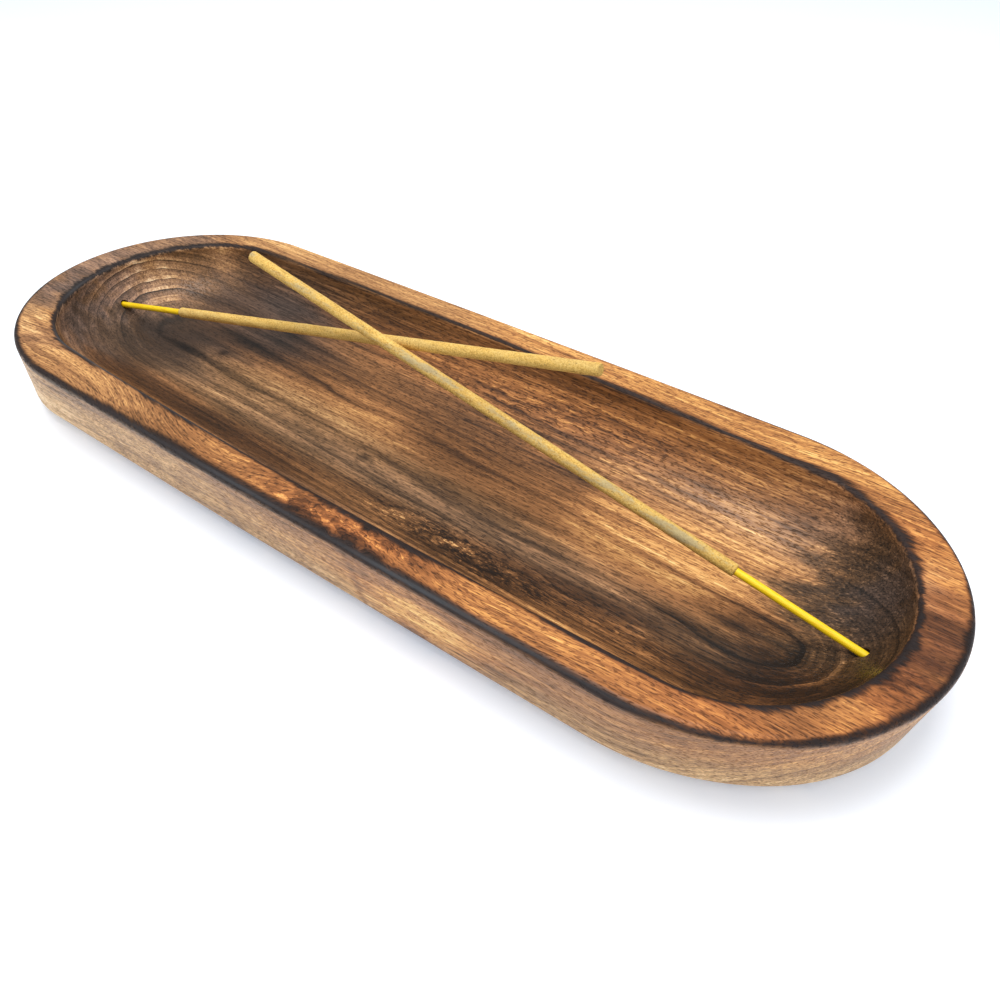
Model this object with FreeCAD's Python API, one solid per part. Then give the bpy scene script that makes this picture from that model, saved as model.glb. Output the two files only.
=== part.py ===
import FreeCAD, Part
import math
import os
from FreeCAD import Vector

# A carved wooden incense tray with an incense stick standing in each end wall.
# Millimetres and degrees. The origin is the centre of the underside, +X is along the tray
# towards its right end, +Y is towards its far side and +Z is up.

# Tray, outside
TRAY_LENGTH = 300.0
TRAY_HEIGHT = 27.5
OUTER_HALF_WIDTH = 51.15     # where the sides meet the rounded ends, before the bulge
OUTER_END_AXIS = 54.7        # how far each half-elliptical end reaches along X
OUTER_BULGE = 0.023          # share by which the sides swell at mid length
OUTER_RIM_ROUND = 1.8
SIDE_TAPER = 0.171           # inward slope of the outer wall, mm per mm of depth
LEFT_TAPER = 0.10
RIGHT_TAPER = 0.15
BASE_LEFT_AXIS = 36.0        # the hand-cut base is blunter than the rim at its left end,
BASE_RIGHT_AXIS = 61.3       # and more pointed at its right end
BASE_ROUND = 7.0

# Well, measured where its wall meets the rim
WELL_LENGTH = 275.3
WELL_HALF_WIDTH = 37.9
WELL_END_AXIS = 35.4
WELL_BULGE = 0.104
WELL_DEPTH = 18.0
WELL_WALL_RUN = 27.0         # how far in from the rim the concave wall reaches the floor
WELL_SHIFT = Vector(0.8, -0.2, 0.0)
WELL_TURN = -0.86            # the well was carved slightly askew
INNER_RIM_ROUND = 1.5

# Incense sticks
CORE_DIAMETER = 2.0
COAT_DIAMETER = 3.3
COAT_END_ROUND = 0.45
TIP_COVER = 0.8              # thickness of incense over the splint's upper end
HOLE_DIAMETER = 3.2
SEAT_DEPTH = 8.0             # how much of each stick is inside its hole
HOLE_END_GAP = 0.25          # space between the stick's foot and the bottom of the hole
STICK_RISE = 12.5            # climb above the horizontal

# Each stick: where its axis meets the well's end wall, its heading seen from above,
# and the lengths of its bare bamboo and of its incense.
STICKS = {
    "left": {"mouth": Vector(-130.4, -1.9, 15.95), "heading": 1.9, "bare": 41.0, "coat": 159.7},
    "right": {"mouth": Vector(131.0, -0.4, 15.1), "heading": 180.4, "bare": 39.7, "coat": 157.5},
}

END_STEPS = 12               # outline points round each end
SIDE_STEPS = 8               # outline points along each side
WALL_LEVELS = 9              # outlines down the well's concave wall


def outline_points(length, half_width, end_axes, bulge, insets, z):
    """Points round two half ellipses joined by slightly bulging sides.

    end_axes are the left and right ellipses' reaches along X. insets are how far the outline
    lies inside its nominal size at the sides, the left end and the right end."""
    side_inset, left_inset, right_inset = insets
    left_axis, right_axis = end_axes
    across = half_width - side_inset
    left_centre = length / 2 - left_axis
    right_centre = length / 2 - right_axis
    plan = []
    for step in range(END_STEPS + 1):
        angle = math.pi * (step / END_STEPS - 0.5)
        reach = (right_axis - right_inset) * math.cos(angle)
        plan.append((right_centre + reach, across * math.sin(angle)))
    for step in range(1, SIDE_STEPS):
        share = step / SIDE_STEPS
        plan.append((right_centre * (1 - share) - left_centre * share, across))
    for step in range(END_STEPS + 1):
        angle = math.pi * (step / END_STEPS - 0.5)
        reach = (left_axis - left_inset) * math.cos(angle)
        plan.append((-left_centre - reach, -across * math.sin(angle)))
    for step in range(1, SIDE_STEPS):
        share = step / SIDE_STEPS
        plan.append((-left_centre * (1 - share) + right_centre * share, -across))
    points = []
    for x, y in plan:
        swell = 1 + bulge * (1 - (2 * x / length) ** 2)
        points.append(Vector(x, y * swell, z))
    return points


def smooth_wire(points, pace):
    """A closed smooth curve through the points. It runs from point to point at the pace of
    another outline, so that a loft joins each point to the one directly above it."""
    walked = [0.0]
    for here, after in zip(pace, pace[1:] + pace[:1]):
        walked.append(walked[-1] + here.distanceToPoint(after))
    curve = Part.BSplineCurve()
    curve.interpolate(Points=points, PeriodicFlag=True, Parameters=walked)
    return Part.Wire([curve.toShape()])


def well_outline(inset, z):
    axes = (WELL_END_AXIS, WELL_END_AXIS)
    insets = (inset, inset, inset)
    points = outline_points(WELL_LENGTH, WELL_HALF_WIDTH, axes, WELL_BULGE, insets, z)
    return smooth_wire(points, points)


def edges_at(shape, z):
    """The edges of a shape that lie wholly at one height."""
    level = []
    for edge in shape.Edges:
        box = edge.BoundBox
        if abs(box.ZMin - z) < 1e-3 and abs(box.ZMax - z) < 1e-3:
            level.append(edge)
    return level


def heading_vector(stick):
    """The unit vector that points up the stick, out of its hole."""
    heading = math.radians(stick["heading"])
    rise = math.radians(STICK_RISE)
    level = math.cos(rise)
    return Vector(level * math.cos(heading), level * math.sin(heading), math.sin(rise))


def block():
    """The outside of the tray, before the well is carved: a straight wall from rim to base.

    Rounding the rim of a tapering wall takes a little off its reach, so the sharp rim starts
    that much larger and the finished tray is TRAY_LENGTH long at its widest."""
    tapers = (SIDE_TAPER, LEFT_TAPER, RIGHT_TAPER)
    gained = [-OUTER_RIM_ROUND * (taper + math.hypot(1, taper) - 1) for taper in tapers]
    sunk = [taper * TRAY_HEIGHT for taper in tapers]
    rim_axes = (OUTER_END_AXIS, OUTER_END_AXIS)
    base_axes = (BASE_LEFT_AXIS, BASE_RIGHT_AXIS)
    rim = outline_points(TRAY_LENGTH, OUTER_HALF_WIDTH, rim_axes, OUTER_BULGE, gained, TRAY_HEIGHT)
    base = outline_points(TRAY_LENGTH, OUTER_HALF_WIDTH, base_axes, OUTER_BULGE, sunk, 0)
    solid = Part.makeLoft([smooth_wire(base, rim), smooth_wire(rim, rim)], True, True)
    return solid.makeFillet(BASE_ROUND, edges_at(solid, 0))


def well():
    """The hollow: a quarter-ellipse wall all round that runs down onto a flat floor."""
    outlines = []
    for level in range(WALL_LEVELS + 1):
        angle = math.pi / 2 * level / WALL_LEVELS
        inset = WELL_WALL_RUN * (1 - math.cos(angle))
        outlines.append(well_outline(inset, TRAY_HEIGHT - WELL_DEPTH * math.sin(angle)))
    hollow = Part.makeLoft(outlines, True, False)
    hollow.rotate(Vector(0, 0, 0), Vector(0, 0, 1), WELL_TURN)
    hollow.translate(WELL_SHIFT)
    return hollow


def stick_hole(stick):
    """The drilled hole, from inside the well to just past the stick's foot."""
    up = heading_vector(stick)
    depth = SEAT_DEPTH + HOLE_END_GAP
    start = stick["mouth"] - up * depth
    return Part.makeCylinder(HOLE_DIAMETER / 2, depth + HOLE_DIAMETER * 2, start, up)


def tray():
    solid = block().cut(well())
    for stick in STICKS.values():
        solid = solid.cut(stick_hole(stick))
    rim_edges = edges_at(solid, TRAY_HEIGHT)
    rim_edges.sort(key=lambda edge: edge.BoundBox.XLength)
    solid = solid.makeFillet(INNER_RIM_ROUND, [rim_edges[0]])
    outer_edge = max(edges_at(solid, TRAY_HEIGHT), key=lambda edge: edge.BoundBox.XLength)
    return solid.makeFillet(OUTER_RIM_ROUND, [outer_edge])


def bamboo_core(stick):
    """The splint, from its foot in the hole to just inside the incense's free end."""
    up = heading_vector(stick)
    foot = stick["mouth"] - up * SEAT_DEPTH
    length = stick["bare"] + stick["coat"] - TIP_COVER
    return Part.makeCylinder(CORE_DIAMETER / 2, length, foot, up)


def incense_coat(stick):
    """The incense rolled round the splint and over its upper end, with softened ends."""
    up = heading_vector(stick)
    start = stick["mouth"] + up * (stick["bare"] - SEAT_DEPTH)
    coat = Part.makeCylinder(COAT_DIAMETER / 2, stick["coat"], start, up)
    rims = [edge for edge in coat.Edges if edge.Closed]
    coat = coat.makeFillet(COAT_END_ROUND, rims)
    bore = Part.makeCylinder(CORE_DIAMETER / 2, stick["coat"] - TIP_COVER, start, up)
    return coat.cut(bore)


def export(name, shape):
    solid = shape.Solids[0]
    if len(shape.Solids) != 1 or not solid.isValid():
        raise RuntimeError(name + " is not one valid solid")
    solid.exportStep("parts/" + name + ".step")


os.makedirs("parts", exist_ok=True)
export("tray", tray())
for side, stick in STICKS.items():
    export(side + "_bamboo_core", bamboo_core(stick))
    export(side + "_incense_coat", incense_coat(stick))
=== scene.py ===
import bpy
import bmesh
import math
import numpy as np
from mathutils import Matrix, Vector, noise


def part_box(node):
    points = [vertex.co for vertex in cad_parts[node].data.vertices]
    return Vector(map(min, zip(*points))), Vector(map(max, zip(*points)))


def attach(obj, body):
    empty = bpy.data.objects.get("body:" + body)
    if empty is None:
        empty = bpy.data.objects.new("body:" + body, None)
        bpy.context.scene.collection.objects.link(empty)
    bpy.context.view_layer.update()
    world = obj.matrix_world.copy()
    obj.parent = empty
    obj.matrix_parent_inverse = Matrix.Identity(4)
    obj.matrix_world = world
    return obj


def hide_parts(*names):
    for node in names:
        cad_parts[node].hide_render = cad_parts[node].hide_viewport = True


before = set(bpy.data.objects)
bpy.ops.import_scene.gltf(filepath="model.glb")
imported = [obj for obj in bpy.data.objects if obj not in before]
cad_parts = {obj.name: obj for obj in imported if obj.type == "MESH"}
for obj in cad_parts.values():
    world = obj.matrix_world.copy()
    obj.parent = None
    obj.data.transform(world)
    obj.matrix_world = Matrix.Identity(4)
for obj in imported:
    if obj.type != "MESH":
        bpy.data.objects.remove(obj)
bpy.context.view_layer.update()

MM = 0.001

# ---------------------------------------------------------------- sizes, in millimetres
TRAY_LOW, TRAY_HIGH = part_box("tray")
LENGTH = 300.0
HEIGHT = (TRAY_HIGH.z - TRAY_LOW.z) / MM
OUTER_HALF_WIDTH = 51.15
OUTER_END_AXIS = 54.7
OUTER_BULGE = 0.023
OUTER_RIM_ROUND = 1.8
TAPERS = (0.171, 0.10, 0.15)           # of the sides, the left end and the right end
BASE_AXES = (36.0, 61.3)               # the base's left and right ends
BASE_ROUND = 7.0

WELL_LENGTH = 275.3
WELL_HALF_WIDTH = 37.9
WELL_END_AXIS = 35.4
WELL_BULGE = 0.104
WELL_DEPTH = 18.0
WELL_WALL_RUN = 27.0
WELL_SHIFT = (0.8, -0.2)
WELL_TURN = math.radians(-0.86)
INNER_RIM_ROUND = 1.5

CORE_RADIUS = 1.0
COAT_RADIUS = 1.65
HOLE_RADIUS = 1.6
HOLE_DEPTH = 8.25
SEAT_DEPTH = 8.0             # how far a stick goes into its hole
TIP_COVER = 0.8              # incense past the splint's end
END_ROUND = 0.35             # length over which a stick's ends are softened
STICK_RISE = math.radians(12.5)
# mouth: where the stick's axis leaves the wall. heading: its way out, in degrees from +X.
# bare: the length without incense, from the foot in the hole. coat: the length of the incense.
# top_sheen: how grey the incense's upper side is, a painted sheen on the side facing the light.
STICKS = {
    "left": {"mouth": Vector((-130.4, -1.9, 15.95)), "heading": 1.9, "bare": 41.0, "coat": 159.7,
             "seed": 1.0, "top_sheen": 0.12},
    "right": {"mouth": Vector((131.0, -0.4, 15.1)), "heading": 180.4, "bare": 39.7, "coat": 157.5,
              "seed": 7.0, "top_sheen": 0.55},
}

# ---------------------------------------------------------------- how fine the meshes are
TRAY_CREASE = 50             # faces that meet at more degrees than this show a crease
STICK_CREASE = 60
WELD = 0.002                 # points closer than this are one, in millimetres
CORE_RINGS = 120             # rings of faces along a splint
COAT_RINGS = 420             # and along a coat

# Rows of faces in each part of the tray's section.
BASE_ROWS = 14
BASE_ROUND_ROWS = 11
WALL_ROWS = 20
OUTER_EDGE_ROWS = 8
RIM_ROWS = 16
INNER_EDGE_ROWS = 7
WELL_WALL_ROWS = 33
FLOOR_ROWS = 12
AROUND = 640                 # columns of faces round the tray
OUTLINE_STEPS = 400          # points in each quarter of the outline before it is spaced evenly


# ---------------------------------------------------------------- camera
CAMERA_PLACE = Vector((0.1392, -0.1450, 0.1664))
CAMERA_HEADING = math.radians(-36.44)    # from +Y, clockwise seen from above
CAMERA_DIP = math.radians(41.34)         # below the horizon
CAMERA_LENS = 31.26


def make_camera():
    data = bpy.data.cameras.new("camera")
    data.lens = CAMERA_LENS
    data.sensor_width = 36.0
    data.clip_start = 0.01
    camera = bpy.data.objects.new("camera", data)
    level = math.cos(CAMERA_DIP)
    ahead = Vector((
        level * math.sin(CAMERA_HEADING),
        level * math.cos(CAMERA_HEADING),
        -math.sin(CAMERA_DIP),
    ))
    camera.location = CAMERA_PLACE
    camera.rotation_euler = ahead.to_track_quat("-Z", "Y").to_euler()
    bpy.context.scene.collection.objects.link(camera)
    bpy.context.scene.camera = camera


# ---------------------------------------------------------------- meshes
def new_object(name, vertices, faces):
    mesh = bpy.data.meshes.new(name)
    mesh.from_pydata([tuple(v) for v in vertices], [], faces)
    mesh.validate()
    thing = bpy.data.objects.new(name, mesh)
    bpy.context.scene.collection.objects.link(thing)
    return thing


def shade(thing, crease):
    """Smooth shading, with a crease where faces meet at more than the angle in degrees."""
    thing.data.shade_smooth()
    thing.data.set_sharp_from_angle(angle=math.radians(crease))


def finish_surface(thing, crease):
    """Welds doubled points, turns the faces outwards and shades them."""
    work = bmesh.new()
    work.from_mesh(thing.data)
    bmesh.ops.remove_doubles(work, verts=work.verts, dist=WELD * MM)
    bmesh.ops.recalc_face_normals(work, faces=work.faces)
    work.to_mesh(thing.data)
    work.free()
    shade(thing, crease)


def store(thing, name, values):
    """Keeps one value for each vertex, for the materials to read."""
    layer = thing.data.attributes.new(name, "FLOAT", "POINT")
    layer.data.foreach_set("value", np.asarray(values, np.float32))


def wave(places, scale, seed):
    """Smooth noise from -1 to 1, one value for each place in millimetres."""
    offset = Vector((seed * 17.3, seed * 5.1, seed * 9.7))
    return np.array([noise.noise(Vector(p) / scale + offset) for p in places])


# ---------------------------------------------------------------- tray
def outline_columns():
    """For each column: its share along the straight side, and the cosine and sine round an end."""
    centre = LENGTH / 2 - OUTER_END_AXIS
    fine = []
    for step in range(OUTLINE_STEPS):
        angle = math.pi * (step / OUTLINE_STEPS - 0.5)
        fine.append((1.0, math.cos(angle), math.sin(angle)))
    for step in range(OUTLINE_STEPS):
        fine.append((1 - 2 * step / OUTLINE_STEPS, 0.0, 1.0))
    full = np.array(fine + [(-share, -c, -s) for share, c, s in fine])
    x = full[:, 0] * centre + full[:, 1] * OUTER_END_AXIS
    y = full[:, 2] * OUTER_HALF_WIDTH
    closed_x = np.append(x, x[0])
    closed_y = np.append(y, y[0])
    walked = np.append(0, np.cumsum(np.hypot(np.diff(closed_x), np.diff(closed_y))))
    closed = np.vstack([full, full[:1]])
    wanted = np.linspace(0, walked[-1], AROUND, endpoint=False)
    return np.column_stack([np.interp(wanted, walked, closed[:, k]) for k in range(3)])


def ring(columns, length, half_width, end_axes, bulge, insets, shrink=1.0):
    """The outline's points in plan. end_axes are for the left and right ends, insets for the
    sides, the left end and the right end. shrink pulls it onto the tray's middle line."""
    share, cosine, sine = columns.T
    to_right = (share + 1) / 2
    centre = to_right * (length / 2 - end_axes[1]) - (1 - to_right) * (length / 2 - end_axes[0])
    reach = np.where(cosine > 0, end_axes[1] - insets[2], end_axes[0] - insets[1])
    x = centre + cosine * reach * shrink
    swell = 1 + bulge * (1 - (2 * x / length) ** 2)
    y = sine * (half_width - insets[0]) * swell * shrink
    return np.column_stack([x, y])


def outer_ring(columns, end_axes, insets):
    return ring(columns, LENGTH, OUTER_HALF_WIDTH, end_axes, OUTER_BULGE, insets)


def well_ring(columns, inset, shrink=1.0):
    axes = (WELL_END_AXIS, WELL_END_AXIS)
    insets = (inset, inset, inset)
    flat = ring(columns, WELL_LENGTH, WELL_HALF_WIDTH, axes, WELL_BULGE, insets, shrink)
    c, s = math.cos(WELL_TURN), math.sin(WELL_TURN)
    x = flat[:, 0] * c - flat[:, 1] * s + WELL_SHIFT[0]
    y = flat[:, 0] * s + flat[:, 1] * c + WELL_SHIFT[1]
    return np.column_stack([x, y])


def tray_rows():
    """The tray's section, from the middle of the underside out, up, over the rim and down to
    the middle of the well's floor: (plan outline, height) for each row of vertices."""
    columns = outline_columns()
    gained = [-OUTER_RIM_ROUND * (taper + math.hypot(1, taper) - 1) for taper in TAPERS]
    sunk = [taper * HEIGHT for taper in TAPERS]
    top = outer_ring(columns, (OUTER_END_AXIS, OUTER_END_AXIS), gained)
    base = outer_ring(columns, BASE_AXES, sunk)
    along = np.roll(top, -1, 0) - np.roll(top, 1, 0)
    outward = np.column_stack([along[:, 1], -along[:, 0]]) / np.hypot(*along.T)[:, None]
    taper = ((top - base) * outward).sum(1) / HEIGHT
    slant = np.arctan(taper)
    rows = []

    def add(plan, height):
        rows.append(np.column_stack([plan, np.broadcast_to(height, AROUND)]))

    def wall(height):
        share = np.broadcast_to(height / HEIGHT, AROUND)[:, None]
        return base * (1 - share) + top * share

    # underside, drawn in towards the tray's middle line
    centre = wall(BASE_ROUND) - outward * (BASE_ROUND * np.hypot(1, taper))[:, None]
    middle = ring(columns, LENGTH, 0, BASE_AXES, 0, (0, BASE_AXES[0], BASE_AXES[1]))
    for share in np.linspace(0, 1, BASE_ROWS + 1):
        add(middle * (1 - share) + centre * share, 0.0)
    # base round
    for step in range(1, BASE_ROUND_ROWS + 1):
        angle = math.pi / 2 + (slant - math.pi / 2) * step / BASE_ROUND_ROWS
        add(centre + outward * (BASE_ROUND * np.cos(angle))[:, None],
            BASE_ROUND * (1 - np.sin(angle)))
    # outer wall
    low = BASE_ROUND * (1 - np.sin(slant))
    high = HEIGHT - OUTER_RIM_ROUND * (1 + np.sin(slant))
    for share in np.linspace(0, 1, WALL_ROWS + 1)[1:]:
        height = low * (1 - share) + high * share
        add(wall(height), height)
    # outer edge of the rim
    drawn_in = OUTER_RIM_ROUND * np.hypot(1, taper)
    centre = wall(HEIGHT - OUTER_RIM_ROUND) - outward * drawn_in[:, None]
    for step in range(1, OUTER_EDGE_ROWS + 1):
        angle = slant + (-math.pi / 2 - slant) * step / OUTER_EDGE_ROWS
        add(centre + outward * (OUTER_RIM_ROUND * np.cos(angle))[:, None],
            HEIGHT - OUTER_RIM_ROUND * (1 + np.sin(angle)))
    # top of the rim
    wall_start = math.asin(INNER_RIM_ROUND / WELL_DEPTH)
    edge_inset = WELL_WALL_RUN * (1 - math.cos(wall_start)) - INNER_RIM_ROUND
    inside = well_ring(columns, edge_inset)
    for step in range(1, RIM_ROWS + 1):
        share = (1 - math.cos(math.pi * step / RIM_ROWS)) / 2
        add(centre * (1 - share) + inside * share, HEIGHT)
    # inner edge of the rim
    for angle in np.linspace(-math.pi / 2, 0, INNER_EDGE_ROWS + 1)[1:]:
        inset = edge_inset + INNER_RIM_ROUND * math.cos(angle)
        add(well_ring(columns, inset), HEIGHT - INNER_RIM_ROUND * (1 + math.sin(angle)))
    # concave wall
    for angle in np.linspace(wall_start, math.pi / 2, WELL_WALL_ROWS + 1)[1:]:
        inset = WELL_WALL_RUN * (1 - math.cos(angle))
        add(well_ring(columns, inset), HEIGHT - WELL_DEPTH * math.sin(angle))
    # floor
    for share in np.linspace(1, 0, FLOOR_ROWS + 1)[1:]:
        add(well_ring(columns, WELL_WALL_RUN, share), HEIGHT - WELL_DEPTH)
    return rows


def stick_axis(stick):
    heading = math.radians(stick["heading"])
    level = math.cos(STICK_RISE)
    return Vector((level * math.cos(heading), level * math.sin(heading), math.sin(STICK_RISE)))


def drill(tray, stick):
    """Cuts one stick's hole into the end wall."""
    axis = stick_axis(stick)
    work = bmesh.new()
    # centred on the mouth, so half of it is in the wood
    bmesh.ops.create_cone(work, cap_ends=True, segments=40, radius1=HOLE_RADIUS * MM,
                          radius2=HOLE_RADIUS * MM, depth=HOLE_DEPTH * 2 * MM)
    bit = bpy.data.objects.new("bit", bpy.data.meshes.new("bit"))
    work.to_mesh(bit.data)
    work.free()
    bpy.context.scene.collection.objects.link(bit)
    bit.rotation_euler = axis.to_track_quat("Z", "Y").to_euler()
    bit.location = stick["mouth"] * MM
    bpy.context.view_layer.update()
    cut = tray.modifiers.new("hole", "BOOLEAN")
    cut.operation = "DIFFERENCE"
    cut.solver = "EXACT"
    cut.object = bit
    graph = bpy.context.evaluated_depsgraph_get()
    cut_mesh = bpy.data.meshes.new_from_object(tray.evaluated_get(graph))
    tray.modifiers.clear()
    tray.data = cut_mesh
    bpy.data.objects.remove(bit)


def plan_inset(x, y, length, half_width, end_axis, bulge):
    """How far inside an outline each plan point is, negative outside, by repeated halving."""
    centre = length / 2 - end_axis
    beyond = np.maximum(np.abs(x) - centre, 0)
    across = y / (1 + bulge * (1 - (2 * x / length) ** 2))
    low = np.full(len(x), -14.0)
    high = np.full(len(x), min(half_width, end_axis) - 0.5)
    for _ in range(24):
        middle = (low + high) / 2
        inside = (beyond / (end_axis - middle)) ** 2 + (across / (half_width - middle)) ** 2 < 1
        low = np.where(inside, middle, low)
        high = np.where(inside, high, middle)
    return low


def nearness_to(x, y, patch):
    """1 in the middle of a soft oval patch, falling off to 0."""
    at_x, at_y, reach_x, reach_y, _ = patch
    return np.exp(-((x - at_x) / reach_x) ** 2 - ((y - at_y) / reach_y) ** 2)


def blobs(x, y, patches):
    """Soft oval patches, added up."""
    total = np.zeros(len(x))
    for patch in patches:
        total += patch[-1] * nearness_to(x, y, patch)
    return total


def blend(x, y, patches, elsewhere):
    """Soft oval patches of set values: their weighted average, falling back to one value."""
    total = np.full(len(x), 0.05 * elsewhere)
    weight = np.full(len(x), 0.05)
    for patch in patches:
        share = nearness_to(x, y, patch)
        total += share * patch[-1]
        weight += share
    return total / weight


# ---------------------------------------------------------------- the wood's look, place by place
# The tables below lay out the wood's look in soft oval patches, in millimetres:
# (x, y, reach along X, reach along Y, value), and for the outer wall (x, height, ...).
# Where several overlap, the LEVELS and DULLS are averaged and all other tables are added up.

# How light or dark the wood is, from 0, sooty black, to 1, pale gold.
WELL_LEVEL = 0.60
WELL_LEVELS = [
    # the smoky left end, and the pale arcs round its hole
    (-106, 0, 15, 12, 0.43), (-84, 20, 20, 8, 0.43), (-104, 30, 16, 6, 0.54),
    (-112, -22, 12, 8, 0.50), (-126, 14, 6, 11, 0.72), (-131, -14, 6, 10, 0.65),
    (-122, 30, 8, 6, 0.67), (-119, -3, 5, 6, 0.46),
    # the clean floor
    (-68, -13, 24, 6, 0.77), (-45, -1, 26, 6, 0.78), (-18, 0, 22, 6, 0.78), (-30, 9, 14, 4, 0.74),
    (-25, -10, 20, 4, 0.67), (-10, -13, 14, 4, 0.68), (20, -9, 30, 5, 0.62), (25, -15, 40, 3, 0.65),
    (-45, 15, 24, 6, 0.60), (-40, 22, 24, 5, 0.62), (10, 15, 24, 6, 0.57), (15, 5, 18, 5, 0.65),
    (35, 12, 14, 8, 0.66), (40, 0, 14, 6, 0.69),
    # the burnt band along the near side
    (-60, -26, 26, 4, 0.35), (-30, -24, 18, 5, 0.51), (-88, -26, 12, 5, 0.49), (-85, -19, 12, 3, 0.63),
    (5, -27, 14, 3.5, 0.63), (-10, -20, 40, 3, 0.57), (42, -27, 13, 4, 0.41), (62, -22, 14, 5, 0.48),
    (82, -24, 14, 4, 0.60), (75, -19, 16, 3, 0.50), (30, -34, 80, 3, 0.60),
    # the golden area before the right end
    (85, 8, 20, 9, 0.89), (68, 0, 15, 6, 0.82), (92, 27, 15, 7, 0.86), (70, 24, 18, 7, 0.81),
    (75, 15, 18, 5, 0.85), (88, -8, 16, 3.5, 0.69), (106, 18, 5, 8, 0.77), (104, 33, 10, 5, 0.72),
    # the sooty right end
    (92, -14, 12, 3, 0.50), (107, -4, 7, 5, 0.56), (112, -14, 11, 6, 0.40), (122, 10, 8, 14, 0.48),
    (132, 2, 8, 20, 0.43), (124, 27, 9, 6, 0.51), (120, -15, 10, 8, 0.24), (108, -24, 14, 4, 0.40),
    # the far wall
    (30, 34, 40, 4, 0.63), (-12, 34, 18, 4, 0.66), (75, 34, 20, 4, 0.70), (-95, 34, 18, 4, 0.55),
    (-50, 33, 16, 4, 0.60),
]
RIM_LEVEL = 0.76
RIM_LEVELS = [
    (-127, -34, 6, 6, 0.85), (-138, -18, 6, 8, 0.69), (-141, 12, 6, 10, 0.76), (-127, 35, 8, 6, 0.72),
    (-95, 46, 20, 6, 0.86), (-50, 46, 40, 6, 0.80), (0, 46, 30, 6, 0.85), (70, 46, 50, 6, 0.82),
    (105, 45, 12, 6, 0.88), (128, 34, 8, 6, 0.78), (137, 22, 6, 7, 0.83), (142, 12, 5, 3, 0.72),
    (143, 5, 6, 2, 0.53), (143, 0, 6, 2, 0.60), (143, -5, 6, 2.5, 0.52), (141, -14, 6, 5, 0.59),
    (136, -25, 6, 5, 0.79), (126, -34, 7, 5, 0.68), (105, -45, 16, 5, 0.71), (75, -47, 22, 5, 0.79),
    (40, -47, 14, 5, 0.63), (18, -47, 12, 5, 0.62), (-15, -48, 22, 5, 0.74), (-40, -47, 14, 5, 0.68),
    (-80, -47, 30, 5, 0.80),
]
# Small lighter and darker spots on the rim: the last number is added to the level.
RIM_SPOTS = [
    (-116, -41, 6, 5, -0.09), (116, 41, 6, 5, -0.08), (143, 2, 5, 3, -0.04), (-136, 24, 5, 6, 0.05),
    (82, 46, 16, 5, -0.05), (30, -47, 9, 5, 0.07), (60, -47, 8, 5, 0.05), (-60, -47, 8, 5, 0.05),
    (126, 34, 6, 6, 0.04), (15, 46, 8, 5, 0.05), (-131, 24, 7, 12, -0.04),
]
WALL_LEVEL = 0.81
# Near its foot the wall is greyer all along and paler near both ends: painted bounce light from the pale
# floor.
WALL_LEVELS = [
    (44, 12, 11, 4.5, 0.95), (45, 3, 10, 3, 0.80), (-60, 14, 30, 10, 0.84), (5, 10, 20, 8, 0.85),
    (75, 12, 12, 8, 0.80), (105, 16, 20, 10, 0.80), (118, 4, 30, 4, 0.91), (-115, 5, 40, 6, 0.95),
    (-140, 16, 10, 8, 0.88),
]
# Narrow upright marks and wider spots on the wall, added to the level.
WALL_SPOTS = [
    (26, 14, 1.0, 12, -0.12), (-20, 10, 1.0, 12, -0.09), (42, 5, 4, 2, -0.16), (68, 10, 5, 3, -0.07),
    (30, 20, 2, 5, -0.07), (60, 21, 10, 1.6, -0.08), (-70, 9, 1.2, 9, -0.06), (100, 8, 12, 1.5, -0.06),
    (-85, 23, 14, 4, -0.08), (-117, 23, 10, 4, 0.08), (0, 22, 28, 4, -0.08), (79, 18, 14, 6, -0.08),
    (111, 23, 14, 4, -0.08), (46, 9, 10, 7, -0.04), (-148, 10, 8, 9, 0.05),
]
# Small dark knots, the pale flare beside one of them, and then wider lighter and darker spots in
# the well, added to the level.
WELL_SPOTS = [
    (-99, -2, 7, 1.5, -0.30), (-87, 3.5, 1.8, 1.5, -0.24), (103, -4.5, 5, 1.3, -0.24),
    (96, -2.5, 3, 1.2, -0.12), (-9.5, -9.5, 2.2, 1.4, -0.20), (-12, -15.5, 6, 4, 0.10),
    (-79, 6, 2, 3, 0.07), (8, -33, 30, 1.5, 0.15),
    (-135, 13, 6, 7, 0.15), (-120, -22, 9, 5, 0.10), (-118, -32, 14, 4, 0.17), (-80, -32, 35, 3, 0.11),
    (-120, 34, 8, 4, 0.13), (-105, 19, 8, 5, 0.12), (-90, 1, 9, 4, 0.09), (-90, 22, 8, 4, 0.08),
    (-75, 25, 8, 5, -0.07), (-60, 10, 10, 3, 0.07), (-12, 10, 12, 3, 0.09), (30, 22, 7, 4, 0.10),
    (90, -20, 7, 3, 0.08), (105, 1, 7, 5, -0.13), (105, 28, 8, 5, -0.12), (78, 28, 12, 4, -0.09),
    (120, 22, 6, 6, -0.10), (118, -17, 8, 4, -0.10), (135, -20, 4, 5, -0.18), (105, -26, 8, 3, -0.09),
    (68, -32, 16, 3, 0.13), (105, -32, 8, 3, 0.12), (120, -26, 6, 3, 0.17), (60, 10, 10, 4, -0.04),
    (-135, 0, 5, 14, 0.09), (-127, 15, 6, 11, 0.05), (-90, 0, 8, 4, 0.09), (-105, 16, 7, 3, 0.10),
    (-38, 10, 26, 3, 0.07), (42, 3, 32, 4, 0.06), (8, -9, 10, 3, 0.08), (-62, -32, 16, 3, 0.07),
    (-120, -27, 6, 3, 0.08), (-120, 34, 7, 4, 0.07), (134, -19, 5, 6, -0.20), (80, 27, 20, 6, -0.03),
    (-60, -20, 8, 3, -0.08), (90, -14, 8, 3, -0.07), (74, -16.5, 14, 2, -0.08), (25, 35, 35, 3, 0.06),
]
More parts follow.
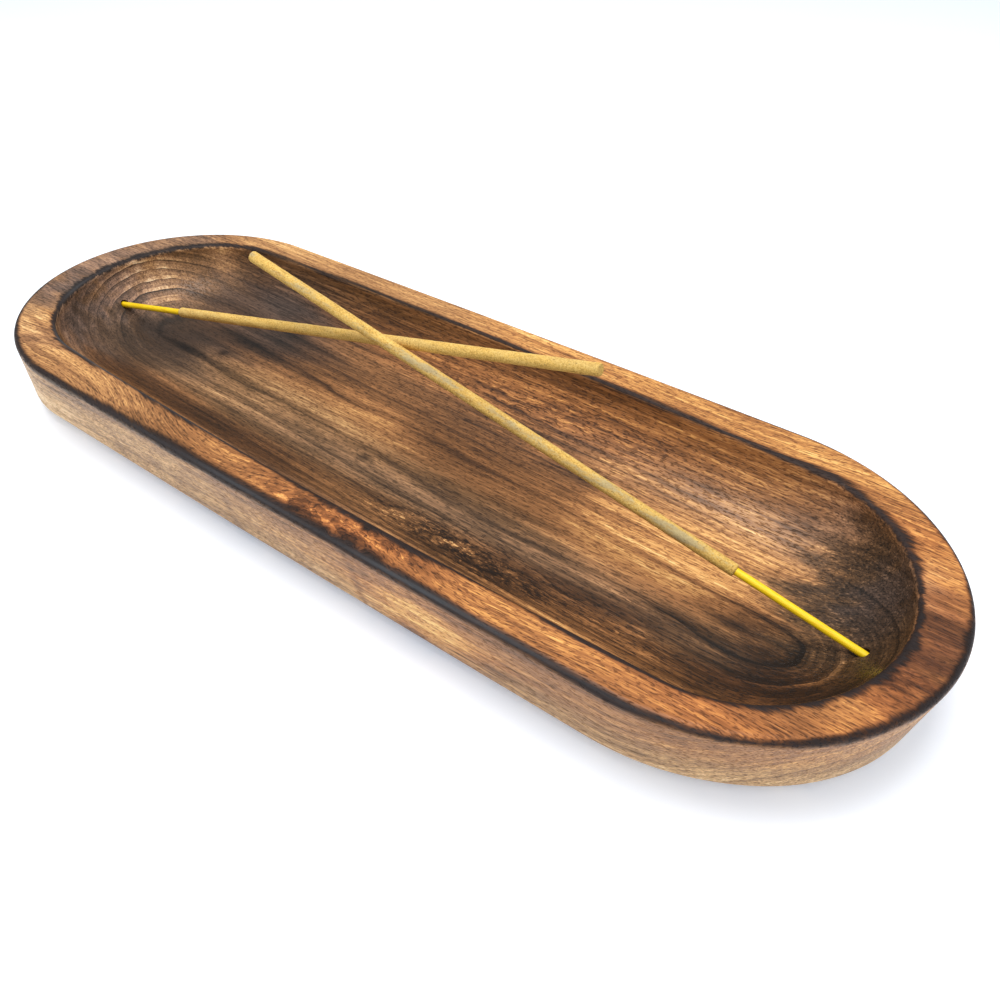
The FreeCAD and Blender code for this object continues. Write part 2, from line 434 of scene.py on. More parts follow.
# Dull, greyer wood (1) against warm gold (0).
DULL = 0.6
DULLS = [
    (-60, -12, 45, 9, 0.9), (-10, -12, 60, 4, 0.9), (-40, 16, 40, 8, 0.4), (20, 14, 40, 10, 0.3),
    (80, 10, 26, 14, 0.3), (85, 28, 25, 6, 0.6), (-50, -26, 35, 5, 0.3), (20, -27, 35, 5, 0.5),
    (75, -24, 25, 6, 0.3), (99, -15, 10, 5, 0.7), (125, 7, 12, 18, 0.9), (122, -17, 12, 8, 0.0),
    (30, 34, 60, 4, 0.0), (25, -9, 40, 4, 0.7), (-128, 10, 10, 20, 0.8), (-88, -23, 16, 5, 0.2),
]
RIM_DULL = 0.2
RIM_DULLS = [
    (-80, -47, 40, 8, 0.5), (-10, -47, 30, 8, 0.15), (90, -47, 50, 10, 0.0), (-80, 46, 50, 8, 0.6),
    (80, 46, 60, 10, 0.1), (142, 0, 8, 30, 0.0), (-140, 0, 12, 40, 0.8),
]
WALL_DULL = 0.4
# the greyer foot of the wall is painted bounce light from the pale floor
WALL_DULLS = [
    (-110, 10, 60, 20, 1.0), (-20, 3, 60, 5, 1.0), (115, 4, 40, 6, 1.0), (46, 11, 14, 6, 0.0),
]
# Soot that turns the wood a greyish purple. The last one, a grey line along the near edge of the well, is
# a painted reflection instead.
SMOKES = [
    (-106, 0, 20, 17, 0.8), (-104, 27, 12, 8, 0.3), (-133, -8, 7, 22, 0.9), (-124, -27, 13, 10, 0.9),
    (-80, 20, 18, 9, 0.8), (-86, 33, 22, 6, 0.9), (136, -20, 3, 8, 0.4), (132, 15, 9, 13, 0.9),
    (-20, -14, 60, 6, 0.2), (60, -14, 60, 6, 0.25), (112, 33, 14, 5, 0.5), (-20, -34, 45, 2.5, 0.4),
]
RIM_SMOKES = [
    (-141, 4, 10, 26, 0.8), (-138, -19, 8, 11, 0.6), (-130, 34, 10, 8, 0.5), (136, 14, 5, 8, 0.25),
    (143, -2, 7, 14, 0.3), (-116, -41, 12, 6, 0.2),
]
# Where the growth rings stand out more than elsewhere, or less where the number is below 0.
RING_STRENGTHS = [
    (-129, 10, 9, 15, 0.9), (-116, -20, 16, 12, -0.45), (-104, 2, 16, 9, -0.5), (105, -11, 18, 10, 1.3),
    (124, -10, 10, 14, 0.9), (40, -22, 40, 8, 0.6),
]
RIM_RINGS = 0.7              # and their strength outside the well
WALL_RINGS = 0.8
# Where each ring shades from pale to dark, so that the rings read as broad stripes.
STRIPES = [
    (-130, 8, 9, 16, 1.0), (-112, 6, 8, 14, 0.4), (122, -14, 12, 14, 0.8), (98, -12, 14, 8, 0.4),
]
# Where the fine grain shows more than elsewhere, or less, under soot and wax.
GRAIN_FADES = [
    (-112, 4, 22, 40, -0.5), (-75, 26, 22, 9, -0.35), (-60, -26, 30, 6, -0.15), (124, 14, 12, 16, 0.1),
    (85, -24, 28, 6, 0.5), (35, -23, 30, 7, 0.5), (30, 34, 45, 5, 0.6),
]
RIM_GRAIN_FADES = [
    (-70, 46, 60, 8, -0.45), (-90, -47, 35, 8, -0.25), (-141, 0, 10, 34, -0.25),
    (142, 0, 8, 26, -0.3), (20, -48, 36, 6, 0.25),
]
RIM_GRAIN = 1.15             # and its strength outside the well
WALL_GRAIN = 0.75
# Where the wood is redder.
RIM_EMBERS = [
    (22, -47, 30, 6, 0.7), (142, -8, 8, 24, 0.8), (128, 30, 10, 8, 0.5), (110, -42, 24, 10, 0.5),
]
# Bright specks of bare wood in the burnt areas.
SPARKS = [
    (38, -24, 20, 4, 1.3), (52, -28, 10, 3, 1.2), (120, 20, 14, 14, 0.7), (112, -2, 14, 8, 0.5),
    (-40, -26, 40, 5, 0.4), (20, -22, 14, 3, 0.8), (126, 0, 8, 14, 0.5),
]
# Where the wax finish is glossier.
POLISHES = [(130, -8, 8, 7, 1.0), (124, 6, 12, 12, 0.5), (-124, 26, 12, 8, 0.6), (88, 28, 18, 8, 0.5)]
# Small knots and swirls that push the growth rings aside, by so many millimetres.
RING_PUSHES = [
    (-9.5, -9.5, 4, 2.0, 1.5), (-99, -1.5, 8, 2.6, 0.7), (-88, 4, 3, 1.6, 0.6),
    (24, -22, 9, 3.0, 3.6), (40, -23, 9, 3.0, -3.4), (54, -25, 9, 3.0, 3.0), (8, -23, 8, 2.6, -1.8),
    (66, -21, 7, 2.5, -1.6), (-40, 24, 16, 3.0, 1.0), (60, 24, 14, 3.0, -1.0),
]
# The figured patches whose curly grain catches the light.
CURLS = [(36, -24, 24, 5, 1.2), (86, -24, 16, 5, 0.4), (20, 34, 30, 4, 0.4)]
RIM_CURLS = [(20, -47, 24, 6, 1.9), (-120, -44, 20, 8, 0.3), (141, -16, 8, 10, 0.5)]
WALL_CURL = 0.15
# Where the fibres of the rim and wall run at a slant to the tray: the last number is the slope.
LEANS = [(-60, -48, 50, 30, 0.42), (40, -48, 30, 20, 0.25), (100, 46, 40, 20, -0.12)]
# How much wider than usual the black line is, from the well's edge and from the outer edge over
# the rim, and from the outer edge down the wall.
EDGE_BURNS = [
    (-134, 12, 8, 16, 1.4), (-122, 33, 9, 7, 1.0), (128, 25, 10, 9, 2.0), (139, -8, 6, 12, 1.5),
    (108, 38, 14, 5, 1.2), (20, -42, 20, 4, 1.4), (-60, -42, 30, 3, 0.5), (118, -36, 12, 5, 0.9),
    (132, -23, 7, 7, 1.3), (-136, -14, 6, 12, 1.0),
]
RIM_BURNS = [
    (18, -50, 26, 4, 1.8), (-40, -50, 30, 3, 1.0), (138, -24, 5, 5, 0.9), (146, 8, 8, 16, 1.4),
    (130, 38, 16, 10, 1.2), (90, 51, 40, 6, 0.8), (124, -42, 22, 12, -0.6),
    (110, -46, 16, 9, -0.35),
]
WALL_BURNS = [(110, -46, 20, 12, -0.8)]

WELL_BLEND = 1.2             # the width over which the well's look passes into the rim's
RIM_SKIN = 1.6               # how far down the edges the rim's look reaches
LEVEL_GAIN = 1.24            # deepens the contrast between dark and light patches
LEVEL_DROP = 0.25

PITH_DEPTH = 20.0            # the growth rings' axis, below the tray
PITH_SLOPE = -0.055          # its sideways drift along the tray
PITH_Y = 0.3
FIRST_RING = 30.4            # from the axis to the ring that counts as 0
RING_WIDTH = 3.1

# The middle of each black line, inwards from the well's edge or the outer edge, and down from the
# rim's top.
INNER_LINE = (-0.35, 0.44)
OUTER_LINE = (0.53, 0.53)
LINE_IN_WELL = 0.85          # how far the line at the well's edge reaches down the well
LINE_ON_RIM = 0.95           # and over the rim
OUTER_LINE_ON_RIM = (0.45, 0.8)     # how far the outer line reaches, and how much more on the near side
OUTER_LINE_ON_WALL = (0.6, 1.6)
# Where the two lines get a painted grey sheen, a reflection put into the colour: the outer one on the near
# side, and the inner one beside it.
CREST_MIDDLE, CREST_REACH, CREST_WIDTH = 25, 85, 0.45
SHEEN_MIDDLE, SHEEN_REACH, SHEEN_WIDTH = -85, 55, 0.5


def paint_tray(tray):
    """Stores what the wood material needs to know about each point of the tray's surface."""
    places = np.empty(len(tray.data.vertices) * 3)
    tray.data.vertices.foreach_get("co", places)
    places = places.reshape(-1, 3) / MM
    x, y, z = places.T
    outer = plan_inset(x, y, LENGTH, OUTER_HALF_WIDTH, OUTER_END_AXIS, OUTER_BULGE)
    c, s = math.cos(WELL_TURN), math.sin(WELL_TURN)
    flat_x, flat_y = x - WELL_SHIFT[0], y - WELL_SHIFT[1]
    inner = plan_inset(flat_x * c + flat_y * s, flat_y * c - flat_x * s,
                       WELL_LENGTH, WELL_HALF_WIDTH, WELL_END_AXIS, WELL_BULGE)
    depth = HEIGHT - z
    well = np.clip(inner / WELL_BLEND + 0.5, 0, 1) * (z > 1)
    rim = np.clip(RIM_SKIN - depth, 0, 1) * (1 - well)
    wall = (1 - well) * (1 - rim)
    paint_patches(tray, places, well, rim, wall)
    paint_grain(tray, places, well, rim + wall)
    paint_burns(tray, places, inner, outer, depth, rim)


def paint_patches(tray, places, well, rim, wall):
    """The levels, colours and strengths laid out in the tables of patches."""
    true_x, y, z = places.T
    # the patches end in streaks along the grain
    x = true_x + 9 * wave(places * (0.1, 1, 1), 3.0, 7) + 6 * wave(places * (0.15, 1, 1), 8.0, 8)

    def spread(in_well, on_rim, on_wall):
        return well * in_well + rim * on_rim + wall * on_wall

    # the wall's own patches are on its near side only
    facing = np.clip((20 - y) / 20, 0, 1)
    wall_level = WALL_LEVEL + facing * (blend(x, z, WALL_LEVELS, WALL_LEVEL) - WALL_LEVEL
                                        + blobs(true_x, z, WALL_SPOTS))
    wall_dull = WALL_DULL + facing * (blend(x, z, WALL_DULLS, WALL_DULL) - WALL_DULL)
    level = spread(blend(x, y, WELL_LEVELS, WELL_LEVEL) + blobs(true_x, y, WELL_SPOTS),
                   blend(x, y, RIM_LEVELS, RIM_LEVEL) + blobs(x, y, RIM_SPOTS), wall_level)
    store(tray, "level", LEVEL_GAIN * level - LEVEL_DROP)
    store(tray, "dull", spread(blend(x, y, DULLS, DULL), blend(x, y, RIM_DULLS, RIM_DULL), wall_dull))
    store(tray, "ember", rim * np.clip(blobs(x, y, RIM_EMBERS), 0, 1))
    store(tray, "stripes", well * np.clip(blobs(x, y, STRIPES), 0, 1))
    store(tray, "smoke", spread(np.clip(blobs(x, y, SMOKES), 0, 1),
                                np.clip(blobs(x, y, RIM_SMOKES), 0, 1), 0.0))
    store(tray, "ring_strength", spread(1 + blobs(x, y, RING_STRENGTHS), RIM_RINGS, WALL_RINGS))
    store(tray, "grain_strength", spread(1 + blobs(x, y, GRAIN_FADES),
                                         RIM_GRAIN + blobs(x, y, RIM_GRAIN_FADES), WALL_GRAIN))
    store(tray, "sparks", well * np.clip(blobs(x, y, SPARKS), 0, 1))
    store(tray, "curl", spread(blobs(x, y, CURLS), blobs(x, y, RIM_CURLS), WALL_CURL))
    store(tray, "polish", well * np.clip(blobs(x, y, POLISHES), 0, 1))


def paint_grain(tray, places, well, outside):
    """growth counts the rings from the first one seen on the floor. across is the sideways place
    in the grain, which leans where the fibres do."""
    x, y, z = places.T
    aside = y - (PITH_Y + PITH_SLOPE * x)
    radius = np.hypot(aside, z + PITH_DEPTH) + 0.8 * wave(places * (0.25, 1, 1), 24.0, 5)
    radius += well * blobs(x, y, RING_PUSHES)
    store(tray, "growth", (radius - FIRST_RING) / RING_WIDTH)
    across = y.copy()
    for lean in LEANS:
        across += outside * lean[-1] * (x - lean[0]) * nearness_to(x, y, lean)
    store(tray, "across", across)


def paint_burns(tray, places, inner, outer, depth, rim):
    """The burnt edges: a black line, wider where the flame licked over the rim. fringe marks the
    border of the inner one, which the grain breaks up into tongues. painted_sheen is a grey
    reflection painted along the edges."""
    x, y, _ = places.T
    ragged = wave(places * (0.35, 1, 1), 5.0, 3) * 0.5 + wave(places * (0.5, 1, 1), 16.0, 4) * 0.5
    near_side = np.clip(0.5 - y / 30, 0, 1)
    from_inner = np.hypot(inner - INNER_LINE[0], depth - INNER_LINE[1])
    reach = np.where(inner < INNER_LINE[0], LINE_ON_RIM + blobs(x, y, EDGE_BURNS), LINE_IN_WELL)
    reach *= 1 + 0.5 * ragged
    char = np.exp(-(from_inner / reach) ** 2)
    store(tray, "fringe", 4 * char * (1 - char))
    from_outer = np.hypot(outer - OUTER_LINE[0], depth - OUTER_LINE[1])
    on_rim = OUTER_LINE_ON_RIM[0] + OUTER_LINE_ON_RIM[1] * near_side + blobs(x, y, RIM_BURNS)
    on_wall = OUTER_LINE_ON_WALL[0] + OUTER_LINE_ON_WALL[1] * near_side + blobs(x, y, WALL_BURNS)
    reach = np.where(rim > 0.5, on_rim, on_wall)
    char = np.maximum(char, np.exp(-(from_outer / (reach * (1 + 0.5 * ragged))) ** 2) * (outer < 9))
    store(tray, "char", char)
    # painted reflection: a grey sheen along the middle of the outer edge's round on the near side, and
    # along the inner edge beside it
    painted_sheen = (np.exp(-(from_outer / CREST_WIDTH) ** 2) * near_side
             * np.exp(-((x - CREST_MIDDLE) / CREST_REACH) ** 4))
    sheen = (np.exp(-(from_inner / SHEEN_WIDTH) ** 2) * (y < 0)
             * np.exp(-((x - SHEEN_MIDDLE) / SHEEN_REACH) ** 4))
    painted_sheen = np.maximum(painted_sheen, 0.8 * sheen)
    store(tray, "painted_sheen", painted_sheen * np.clip(0.75 + 1.2 * wave(places * (0.5, 1, 1), 14.0, 6), 0, 1))


def make_tray():
    rows = tray_rows()
    vertices = np.vstack(rows)
    faces = []
    for row in range(len(rows) - 1):
        start = row * AROUND
        for column in range(AROUND):
            after = (column + 1) % AROUND
            faces.append((start + column, start + after,
                          start + AROUND + after, start + AROUND + column))
    tray = new_object("carved_tray", carve_by_hand(vertices) * MM, faces)
    finish_surface(tray, TRAY_CREASE)
    for stick in STICKS.values():
        drill(tray, stick)
    shade(tray, TRAY_CREASE)
    paint_tray(tray)
    tray.data.materials.clear()
    tray.data.materials.append(wood_material())
    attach(tray, "tray")
    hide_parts("tray")


def carve_by_hand(vertices):
    """The small unevenness of a carved and sanded block, always inwards of the true outside."""
    shaped = vertices.copy()
    x, y, z = vertices.T
    slow = wave(vertices * (0.4, 1, 1), 30.0, 1)
    quick = wave(vertices * (0.5, 1, 1), 9.0, 2)
    off_base = np.clip(z / 3, 0, 1)
    # plan: the whole surface breathes a little towards the middle
    pull = off_base * (0.16 + 0.12 * slow + 0.04 * quick)
    reach = np.hypot(x / 3, y) + 1e-6
    shaped[:, 1] -= pull * y / reach
    shaped[:, 0] -= pull * (x / 3) / reach
    # height: the rim dips and the well's surface ripples
    lift = off_base * (0.10 * slow + 0.05 * quick - 0.15)
    shaped[:, 2] += lift
    return shaped


# ---------------------------------------------------------------- incense sticks
def make_rod(name, start, axis, radii, segments, wobble, seed, top_sheen=0.0):
    """A closed rod along axis through (distance, radius) rings. Its wall dips inwards unevenly,
    by up to about twice wobble times the radius."""
    side = axis.orthogonal().normalized()
    up = axis.cross(side)
    vertices, faces, upward = [], [], []
    for distance, radius in radii:
        for step in range(segments):
            angle = 2 * math.pi * step / segments
            around = side * math.cos(angle) + up * math.sin(angle)
            spot = start + axis * distance + around * radius
            bump = noise.noise(Vector((distance / 2.2, 0, 0)) + around * 0.9 + Vector((seed, 0, 0)))
            fine = noise.noise(Vector((distance / 0.6, 0, 0)) + around * 3 + Vector((0, seed, 0)))
            vertices.append((spot - around * wobble * (1 + bump + 0.5 * fine) * radius) * MM)
            # upward: how far each point faces up and towards the near side, the lit side that gets the
            # incense's painted sheen
            upward.append(around.dot(Vector((0, -0.6, 0.8))))
    rows = len(radii)
    for row in range(rows - 1):
        for step in range(segments):
            after = (step + 1) % segments
            faces.append((row * segments + step, row * segments + after,
                          (row + 1) * segments + after, (row + 1) * segments + step))
    faces.append(tuple(range(segments))[::-1])
    faces.append(tuple((rows - 1) * segments + step for step in range(segments)))
    rod = new_object(name, vertices, faces)
    store(rod, "upward", upward)
    store(rod, "top_sheen", np.full(len(vertices), top_sheen))
    finish_surface(rod, STICK_CREASE)
    return rod


def plain_rings(length, count, radius):
    """The even rings between a rod's softened ends."""
    even = length - 2 * END_ROUND
    return [(END_ROUND + even * step / count, radius) for step in range(1, count)]


def make_core(side, stick):
    """The dyed bamboo splint, with softened ends."""
    axis = stick_axis(stick)
    length = stick["bare"] + stick["coat"] - TIP_COVER
    radii = [(0, 0.7 * CORE_RADIUS), (0.15, 0.92 * CORE_RADIUS), (END_ROUND, CORE_RADIUS)]
    radii += plain_rings(length, CORE_RINGS, CORE_RADIUS)
    radii += [(length - END_ROUND, CORE_RADIUS), (length - 0.1, 0.93 * CORE_RADIUS),
              (length - 0.02, 0.8 * CORE_RADIUS)]
    start = stick["mouth"] - axis * SEAT_DEPTH
    core = make_rod(side + "_bamboo", start, axis, radii, 20, 0.02, stick["seed"] + 1)
    core.data.materials.append(bamboo_material())
    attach(core, side + "_stick")
    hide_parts(side + "_bamboo_core")


def make_coat(side, stick):
    """The rolled incense: a tube with blunt, slightly crumbled ends."""
    axis = stick_axis(stick)
    length = stick["coat"]
    start = stick["mouth"] + axis * (stick["bare"] - SEAT_DEPTH)
    radii = [(0.25, CORE_RADIUS * 1.02), (0.0, CORE_RADIUS * 1.12), (0.02, COAT_RADIUS - 0.35),
             (0.12, COAT_RADIUS - 0.14), (END_ROUND, COAT_RADIUS - 0.02)]
    radii += plain_rings(length, COAT_RINGS, COAT_RADIUS)
    radii += [(length - END_ROUND, COAT_RADIUS - 0.02), (length - 0.12, COAT_RADIUS - 0.14),
              (length - 0.02, COAT_RADIUS - 0.35), (length - 0.03, CORE_RADIUS),
              (length - 0.12, CORE_RADIUS * 0.4)]
    coat = make_rod(side + "_incense", start, axis, radii, 40, 0.028, stick["seed"], stick["top_sheen"])
    coat.data.materials.append(incense_material())
    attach(coat, side + "_stick")
    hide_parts(side + "_incense_coat")


# ---------------------------------------------------------------- materials
def linear(red, green, blue):
    """A colour as it looks on a screen, 0 to 255, as the shader's linear values."""
    values = []
    for part in (red, green, blue):
        part /= 255
        values.append(part / 12.92 if part <= 0.04045 else ((part + 0.055) / 1.055) ** 2.4)
    return (*values, 1.0)


class Graph:
    """Short ways to write a material's nodes."""

    def __init__(self, name):
        self.material = bpy.data.materials.new(name)
        self.material.use_nodes = True
        self.tree = self.material.node_tree
        self.shader = self.tree.nodes["Principled BSDF"]

    def node(self, kind, **settings):
        made = self.tree.nodes.new("ShaderNode" + kind)
        for key, value in settings.items():
            setattr(made, key, value)
        return made

    def plug(self, socket, value):
        if hasattr(value, "is_output"):
            self.tree.links.new(value, socket)
        else:
            socket.default_value = value

    def math(self, operation, a, b=0.0):
        made = self.node("Math", operation=operation)
        self.plug(made.inputs[0], a)
        self.plug(made.inputs[1], b)
        return made.outputs[0]

    def sum(self, *terms):
        total = terms[0]
        for term in terms[1:]:
            total = self.math("ADD", total, term)
        return total

    def times(self, a, b):
        return self.math("MULTIPLY", a, b)

    def soft_step(self, value, low, high):
        made = self.node("MapRange", interpolation_type="SMOOTHSTEP")
        self.plug(made.inputs["Value"], value)
        self.plug(made.inputs["From Min"], low)
        self.plug(made.inputs["From Max"], high)
        return made.outputs[0]

    def vector(self, x, y, z):
        made = self.node("CombineXYZ")
        for socket, value in zip(made.inputs, (x, y, z)):
            self.plug(socket, value)
        return made.outputs[0]

    def noise(self, place, detail, roughness):
        """Noise about 0: roughly -0.5 to 0.5."""
        made = self.node("TexNoise")
        self.plug(made.inputs["Vector"], place)
        made.inputs["Scale"].default_value = 1.0
        made.inputs["Detail"].default_value = detail
        made.inputs["Roughness"].default_value = roughness
        return self.math("SUBTRACT", made.outputs[0], 0.5)

    def stretched(self, x, y, z, along, across, shift=0.0):
        """Coordinates for a pattern whose marks are along mm long and across mm wide. shift
        keeps patterns apart."""
        return self.vector(self.math("ADD", self.times(x, 1 / along), shift),
                           self.times(y, 1 / across), self.times(z, 1 / across))

    def ramp(self, value, stops):
        made = self.node("ValToRGB")
        bar = made.color_ramp
        while len(bar.elements) < len(stops):
            bar.elements.new(0.5)
        for element, (position, colour) in zip(bar.elements, stops):
            element.position = position
            element.color = colour
        self.plug(made.inputs[0], value)
        return made.outputs[0]

    def mix(self, share, a, b, blend="MIX"):
        made = self.node("Mix", data_type="RGBA", blend_type=blend)
        self.plug(made.inputs[0], share)
        self.plug(made.inputs[6], a)
        self.plug(made.inputs[7], b)
        return made.outputs[2]

    def attribute(self, name):
        return self.node("Attribute", attribute_name=name).outputs["Fac"]

    def place_mm(self):
        """The point's own coordinates in millimetres, as x, y and z."""
        grown = self.node("VectorMath", operation="SCALE")
        self.plug(grown.inputs[0], self.node("TexCoord").outputs["Object"])
        grown.inputs["Scale"].default_value = 1 / MM
        apart = self.node("SeparateXYZ")
        self.plug(apart.inputs[0], grown.outputs[0])
        return apart.outputs

    def bump(self, height, distance, strength):
        made = self.node("Bump")
        self.plug(made.inputs["Height"], height)
        made.inputs["Distance"].default_value = distance
        made.inputs["Strength"].default_value = strength
        return made.outputs[0]


# Colours from darkest to palest at the same steps of level, for warm, dull and smoky wood.
LEVEL_STEPS = (0.0, 0.2, 0.4, 0.55, 0.7, 0.8, 0.9, 1.0)
WARM_WOOD = ((32, 21, 15), (54, 33, 19), (88, 54, 30), (121, 76, 40),
             (163, 105, 58), (194, 131, 72), (230, 167, 92), (252, 210, 128))
DULL_WOOD = ((28, 22, 16), (48, 36, 23), (77, 57, 37), (106, 80, 52),
             (145, 109, 74), (176, 136, 93), (214, 170, 117), (242, 208, 158))
SMOKY_WOOD = ((28, 25, 24), (45, 38, 34), (70, 57, 50), (97, 79, 69),
              (138, 109, 92), (171, 135, 112), (208, 168, 140), (238, 209, 180))


EMBER_TINT = (255, 226, 212)
CHAR_BLACK = (38, 31, 31)
# the grey of the painted sheen along the burnt edges
SHEEN_GREY = (88, 92, 96)


def wood_colour(g, tone, family):
    return g.ramp(tone, [(step, linear(*shade)) for step, shade in zip(LEVEL_STEPS, family)])


def wood_material():
    g = Graph("scorched_wood")
    x, y, z = g.place_mm()
    across = g.attribute("across")
    curl = g.attribute("curl")
    mild = g.noise(g.stretched(x, y, z, 34, 7, 11.0), 2, 0.5)
    swirl = g.noise(g.stretched(x, y, z, 5.5, 3.2, 31.0), 3, 0.55)
    growth = g.sum(g.attribute("growth"), g.times(mild, 0.5), g.times(g.times(swirl, curl), 3.0))
    # Broad bands of many rings, single rings, fine lines, and the dark late wood closing each ring.
    # first is one dark line, at the ring that counts as 0.
    bands = g.noise(g.vector(g.times(growth, 0.8), g.times(x, 1 / 260), 3.0), 2, 0.6)
    rings = g.noise(g.vector(g.times(growth, 2.4), g.times(x, 1 / 120), 8.0), 2, 0.6)
    lines = g.noise(g.vector(g.times(growth, 9.0), g.times(x, 1 / 40), 15.0), 2, 0.6)
    patchy = g.noise(g.vector(g.times(growth, 0.8), g.times(x, 1 / 90), 40.0), 1, 0.5)
    shown = g.soft_step(patchy, -0.15, 0.15)
    within = g.math("FRACT", g.sum(growth, g.times(rings, 0.3)))
    late = g.times(g.math("POWER", within, 6.0), shown)
    first = g.math("SUBTRACT", 1.0, g.soft_step(g.math("ABSOLUTE", growth), 0.02, 0.16))
    stripe = g.times(g.math("SUBTRACT", 0.5, within), g.attribute("stripes"))
    ring_part = g.sum(0.02, g.times(stripe, 0.24), g.times(bands, 0.34), g.times(rings, 0.42),
                      g.times(lines, 0.26), g.times(late, -0.20), g.times(first, -0.12))
    # fibres, and the short dark dashes of the open pores
    warp = g.sum(across, g.times(g.times(swirl, curl), 5.0))
    streaks = g.noise(g.stretched(x, warp, z, 60, 1.9, 17.0), 2, 0.6)
    fibres = g.noise(g.stretched(x, warp, z, 24, 0.75, 5.0), 3, 0.65)
    threads = g.noise(g.stretched(x, warp, z, 6, 0.36, 2.0), 2, 0.6)
    dashes = g.noise(g.stretched(x, warp, z, 1.9, 0.42, 9.0), 1, 0.5)
    pores = g.soft_step(dashes, 0.04, 0.14)
    specks = g.soft_step(g.noise(g.stretched(x, warp, z, 1.6, 0.5, 51.0), 2, 0.6), 0.04, 0.16)
    cloud = g.noise(g.stretched(x, y, z, 20, 8, 21.0), 3, 0.6)
    grain_part = g.sum(0.03, g.times(g.times(swirl, curl), 0.9), g.times(streaks, 0.34),
                       g.times(fibres, 0.46), g.times(threads, 0.44), g.times(cloud, 0.20),
                       g.times(pores, -0.15))
    tone = g.sum(
        g.attribute("level"),
        g.times(ring_part, g.attribute("ring_strength")),
        g.times(grain_part, g.attribute("grain_strength")),
        g.times(g.times(specks, g.attribute("sparks")), 0.30),
    )
    # flame marks darken the grain first, and turn it black at the very edge
    tongues = g.sum(g.times(streaks, 1.4), g.times(fibres, 0.8), g.times(threads, 0.5))
    licked = g.sum(g.attribute("char"), fibres, g.times(streaks, 1.0), g.times(threads, 0.3),
                   g.times(g.attribute("fringe"), tongues))
    tone = g.math("SUBTRACT", tone, g.times(g.soft_step(licked, 0.15, 0.85), 0.42))
    colour = g.mix(g.attribute("dull"), wood_colour(g, tone, WARM_WOOD),
                   wood_colour(g, tone, DULL_WOOD))
    colour = g.mix(g.attribute("smoke"), colour, wood_colour(g, tone, SMOKY_WOOD))
    colour = g.mix(g.attribute("ember"), colour, linear(*EMBER_TINT), "MULTIPLY")
    char = g.soft_step(licked, 0.6, 1.0)
    colour = g.mix(g.times(char, 0.9), colour, linear(*CHAR_BLACK))
    # painted sheen: a grey reflection painted over the burnt edges
    colour = g.mix(g.times(g.attribute("painted_sheen"), 0.75), colour, linear(*SHEEN_GREY))
    g.plug(g.shader.inputs["Base Color"], colour)
    rough = g.sum(0.40, g.times(pores, 0.2), g.times(cloud, 0.15), g.times(char, 0.2),
                  g.times(g.attribute("polish"), -0.22))
    g.plug(g.shader.inputs["Roughness"], rough)
    g.shader.inputs["Specular IOR Level"].default_value = 0.22
    height = g.sum(g.times(fibres, 0.5), g.times(threads, 0.5), g.times(pores, -0.6),
                   g.times(rings, 0.3))
    g.plug(g.shader.inputs["Normal"], g.bump(height, 0.00012, 0.8))
    return g.material


def bamboo_material():
    g = Graph("dyed_bamboo")
    x, y, z = g.place_mm()
    fibres = g.noise(g.stretched(x, y, z, 30, 0.35), 3, 0.6)
    blotch = g.noise(g.stretched(x, y, z, 9, 2), 2, 0.5)
    colour = g.ramp(g.sum(0.5, g.times(fibres, 0.9), g.times(blotch, 0.5)), [
        (0.15, linear(224, 164, 10)), (0.5, linear(255, 212, 16)), (0.9, linear(255, 232, 56)),
    ])
    g.plug(g.shader.inputs["Base Color"], colour)
    g.shader.inputs["Roughness"].default_value = 0.42
    g.plug(g.shader.inputs["Normal"], g.bump(fibres, 0.00008, 0.7))
    return g.material


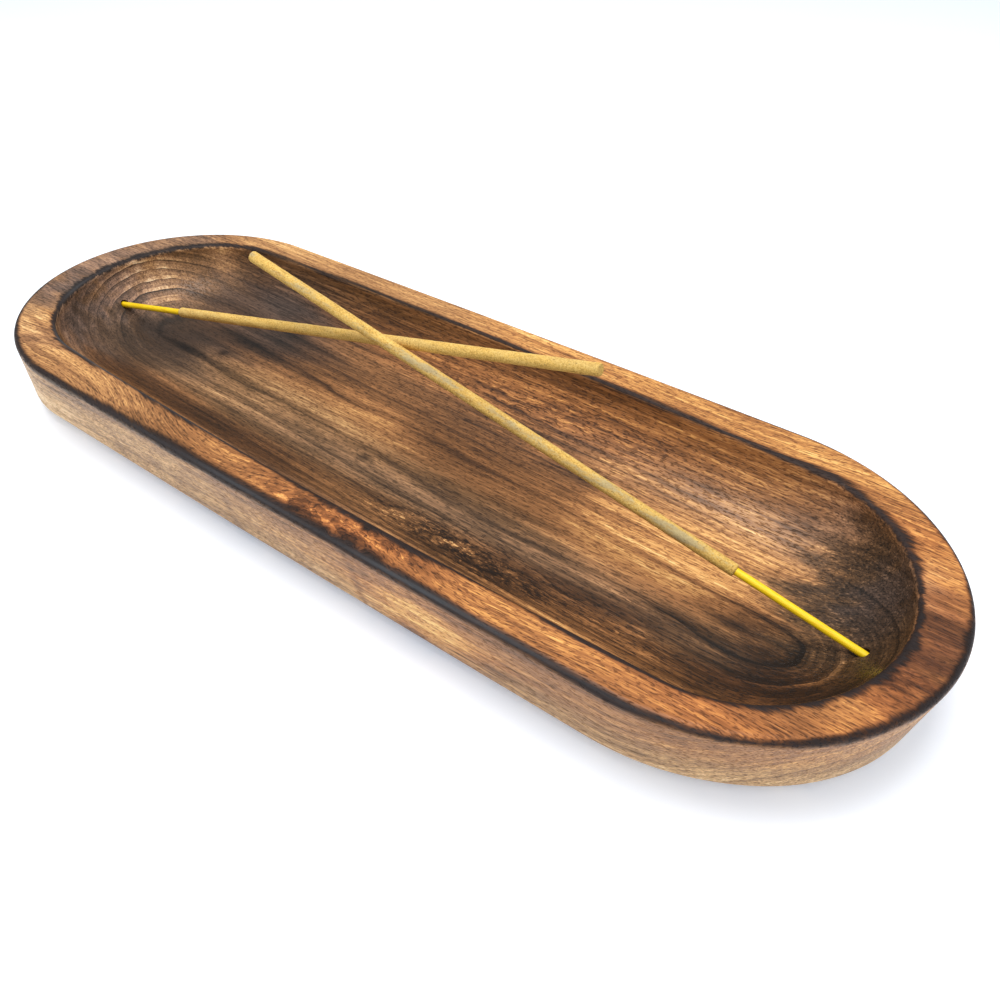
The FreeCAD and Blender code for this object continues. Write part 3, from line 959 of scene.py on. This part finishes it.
def incense_material():
    g = Graph("incense_paste")
    x, y, z = g.place_mm()
    grain = g.noise(g.stretched(x, y, z, 0.45, 0.40), 3, 0.7)
    specks = g.soft_step(g.noise(g.stretched(x, y, z, 0.7, 0.5, 4.0), 2, 0.6), 0.10, 0.22)
    blotch = g.noise(g.stretched(x, y, z, 12, 1.6, 8.0), 3, 0.6)
    patchy = g.noise(g.stretched(x, y, z, 14, 3.0, 14.0), 3, 0.6)
    # painted sheen: the upper side, facing the light, is greyed in patches
    top_sheen_mask = g.soft_step(g.sum(g.attribute("upward"), g.times(patchy, 2.2), g.times(grain, 0.8)), 0.75, 1.25)
    colour = g.ramp(g.sum(0.5, g.times(grain, 1.3), g.times(blotch, 0.5)), [
        (0.1, linear(154, 108, 44)), (0.5, linear(226, 182, 92)), (0.9, linear(250, 218, 134)),
    ])
    colour = g.mix(g.times(top_sheen_mask, g.attribute("top_sheen")), colour, linear(146, 150, 134))
    colour = g.mix(g.times(specks, 0.5), colour, linear(120, 88, 46))
    g.plug(g.shader.inputs["Base Color"], colour)
    g.shader.inputs["Roughness"].default_value = 0.9
    g.plug(g.shader.inputs["Normal"], g.bump(g.sum(grain, g.times(specks, -0.3)), 0.00024, 0.9))
    return g.material


def floor_material():
    g = Graph("pale_paper")
    x, y, z = g.place_mm()
    fine = g.noise(g.stretched(x, y, z, 1.5, 1.5), 2, 0.5)
    colour = g.ramp(g.sum(0.5, fine), [(0.0, (0.90, 0.91, 0.92, 1)), (1.0, (0.93, 0.94, 0.95, 1))])
    g.plug(g.shader.inputs["Base Color"], colour)
    g.shader.inputs["Roughness"].default_value = 0.8
    g.shader.inputs["Specular IOR Level"].default_value = 0.2
    g.shader.inputs["Emission Color"].default_value = (0.14, 0.20, 0.28, 1.0)
    g.shader.inputs["Emission Strength"].default_value = 1.0
    return g.material


# ---------------------------------------------------------------- stage and light
def make_stage():
    bpy.ops.mesh.primitive_plane_add(size=6.0, location=(0, 0, 0))
    floor = bpy.context.active_object
    floor.name = "floor"
    floor.data.materials.append(floor_material())


def add_light(name, place, aim, size, power):
    data = bpy.data.lights.new(name, "AREA")
    data.size = size
    data.energy = power
    lamp = bpy.data.objects.new(name, data)
    lamp.location = place
    lamp.rotation_euler = (Vector(aim) - Vector(place)).to_track_quat("-Z", "Y").to_euler()
    bpy.context.scene.collection.objects.link(lamp)


def make_light():
    world = bpy.data.worlds.new("studio")
    world.use_nodes = True
    backdrop = world.node_tree.nodes["Background"]
    backdrop.inputs["Color"].default_value = (0.94, 0.97, 1.0, 1.0)
    backdrop.inputs["Strength"].default_value = 0.35
    bpy.context.scene.world = world
    add_light("ceiling", (0.3, -0.3, 1.2), (0.3, -0.3, 0), 2.6, 19)
    add_light("softbox", (-0.02, -0.06, 0.9), (-0.02, -0.06, 0), 0.4, 4.5)
    bpy.context.scene.view_settings.view_transform = "Standard"


make_camera()
make_tray()
for side, stick in STICKS.items():
    make_core(side, stick)
    make_coat(side, stick)
make_stage()
make_light()
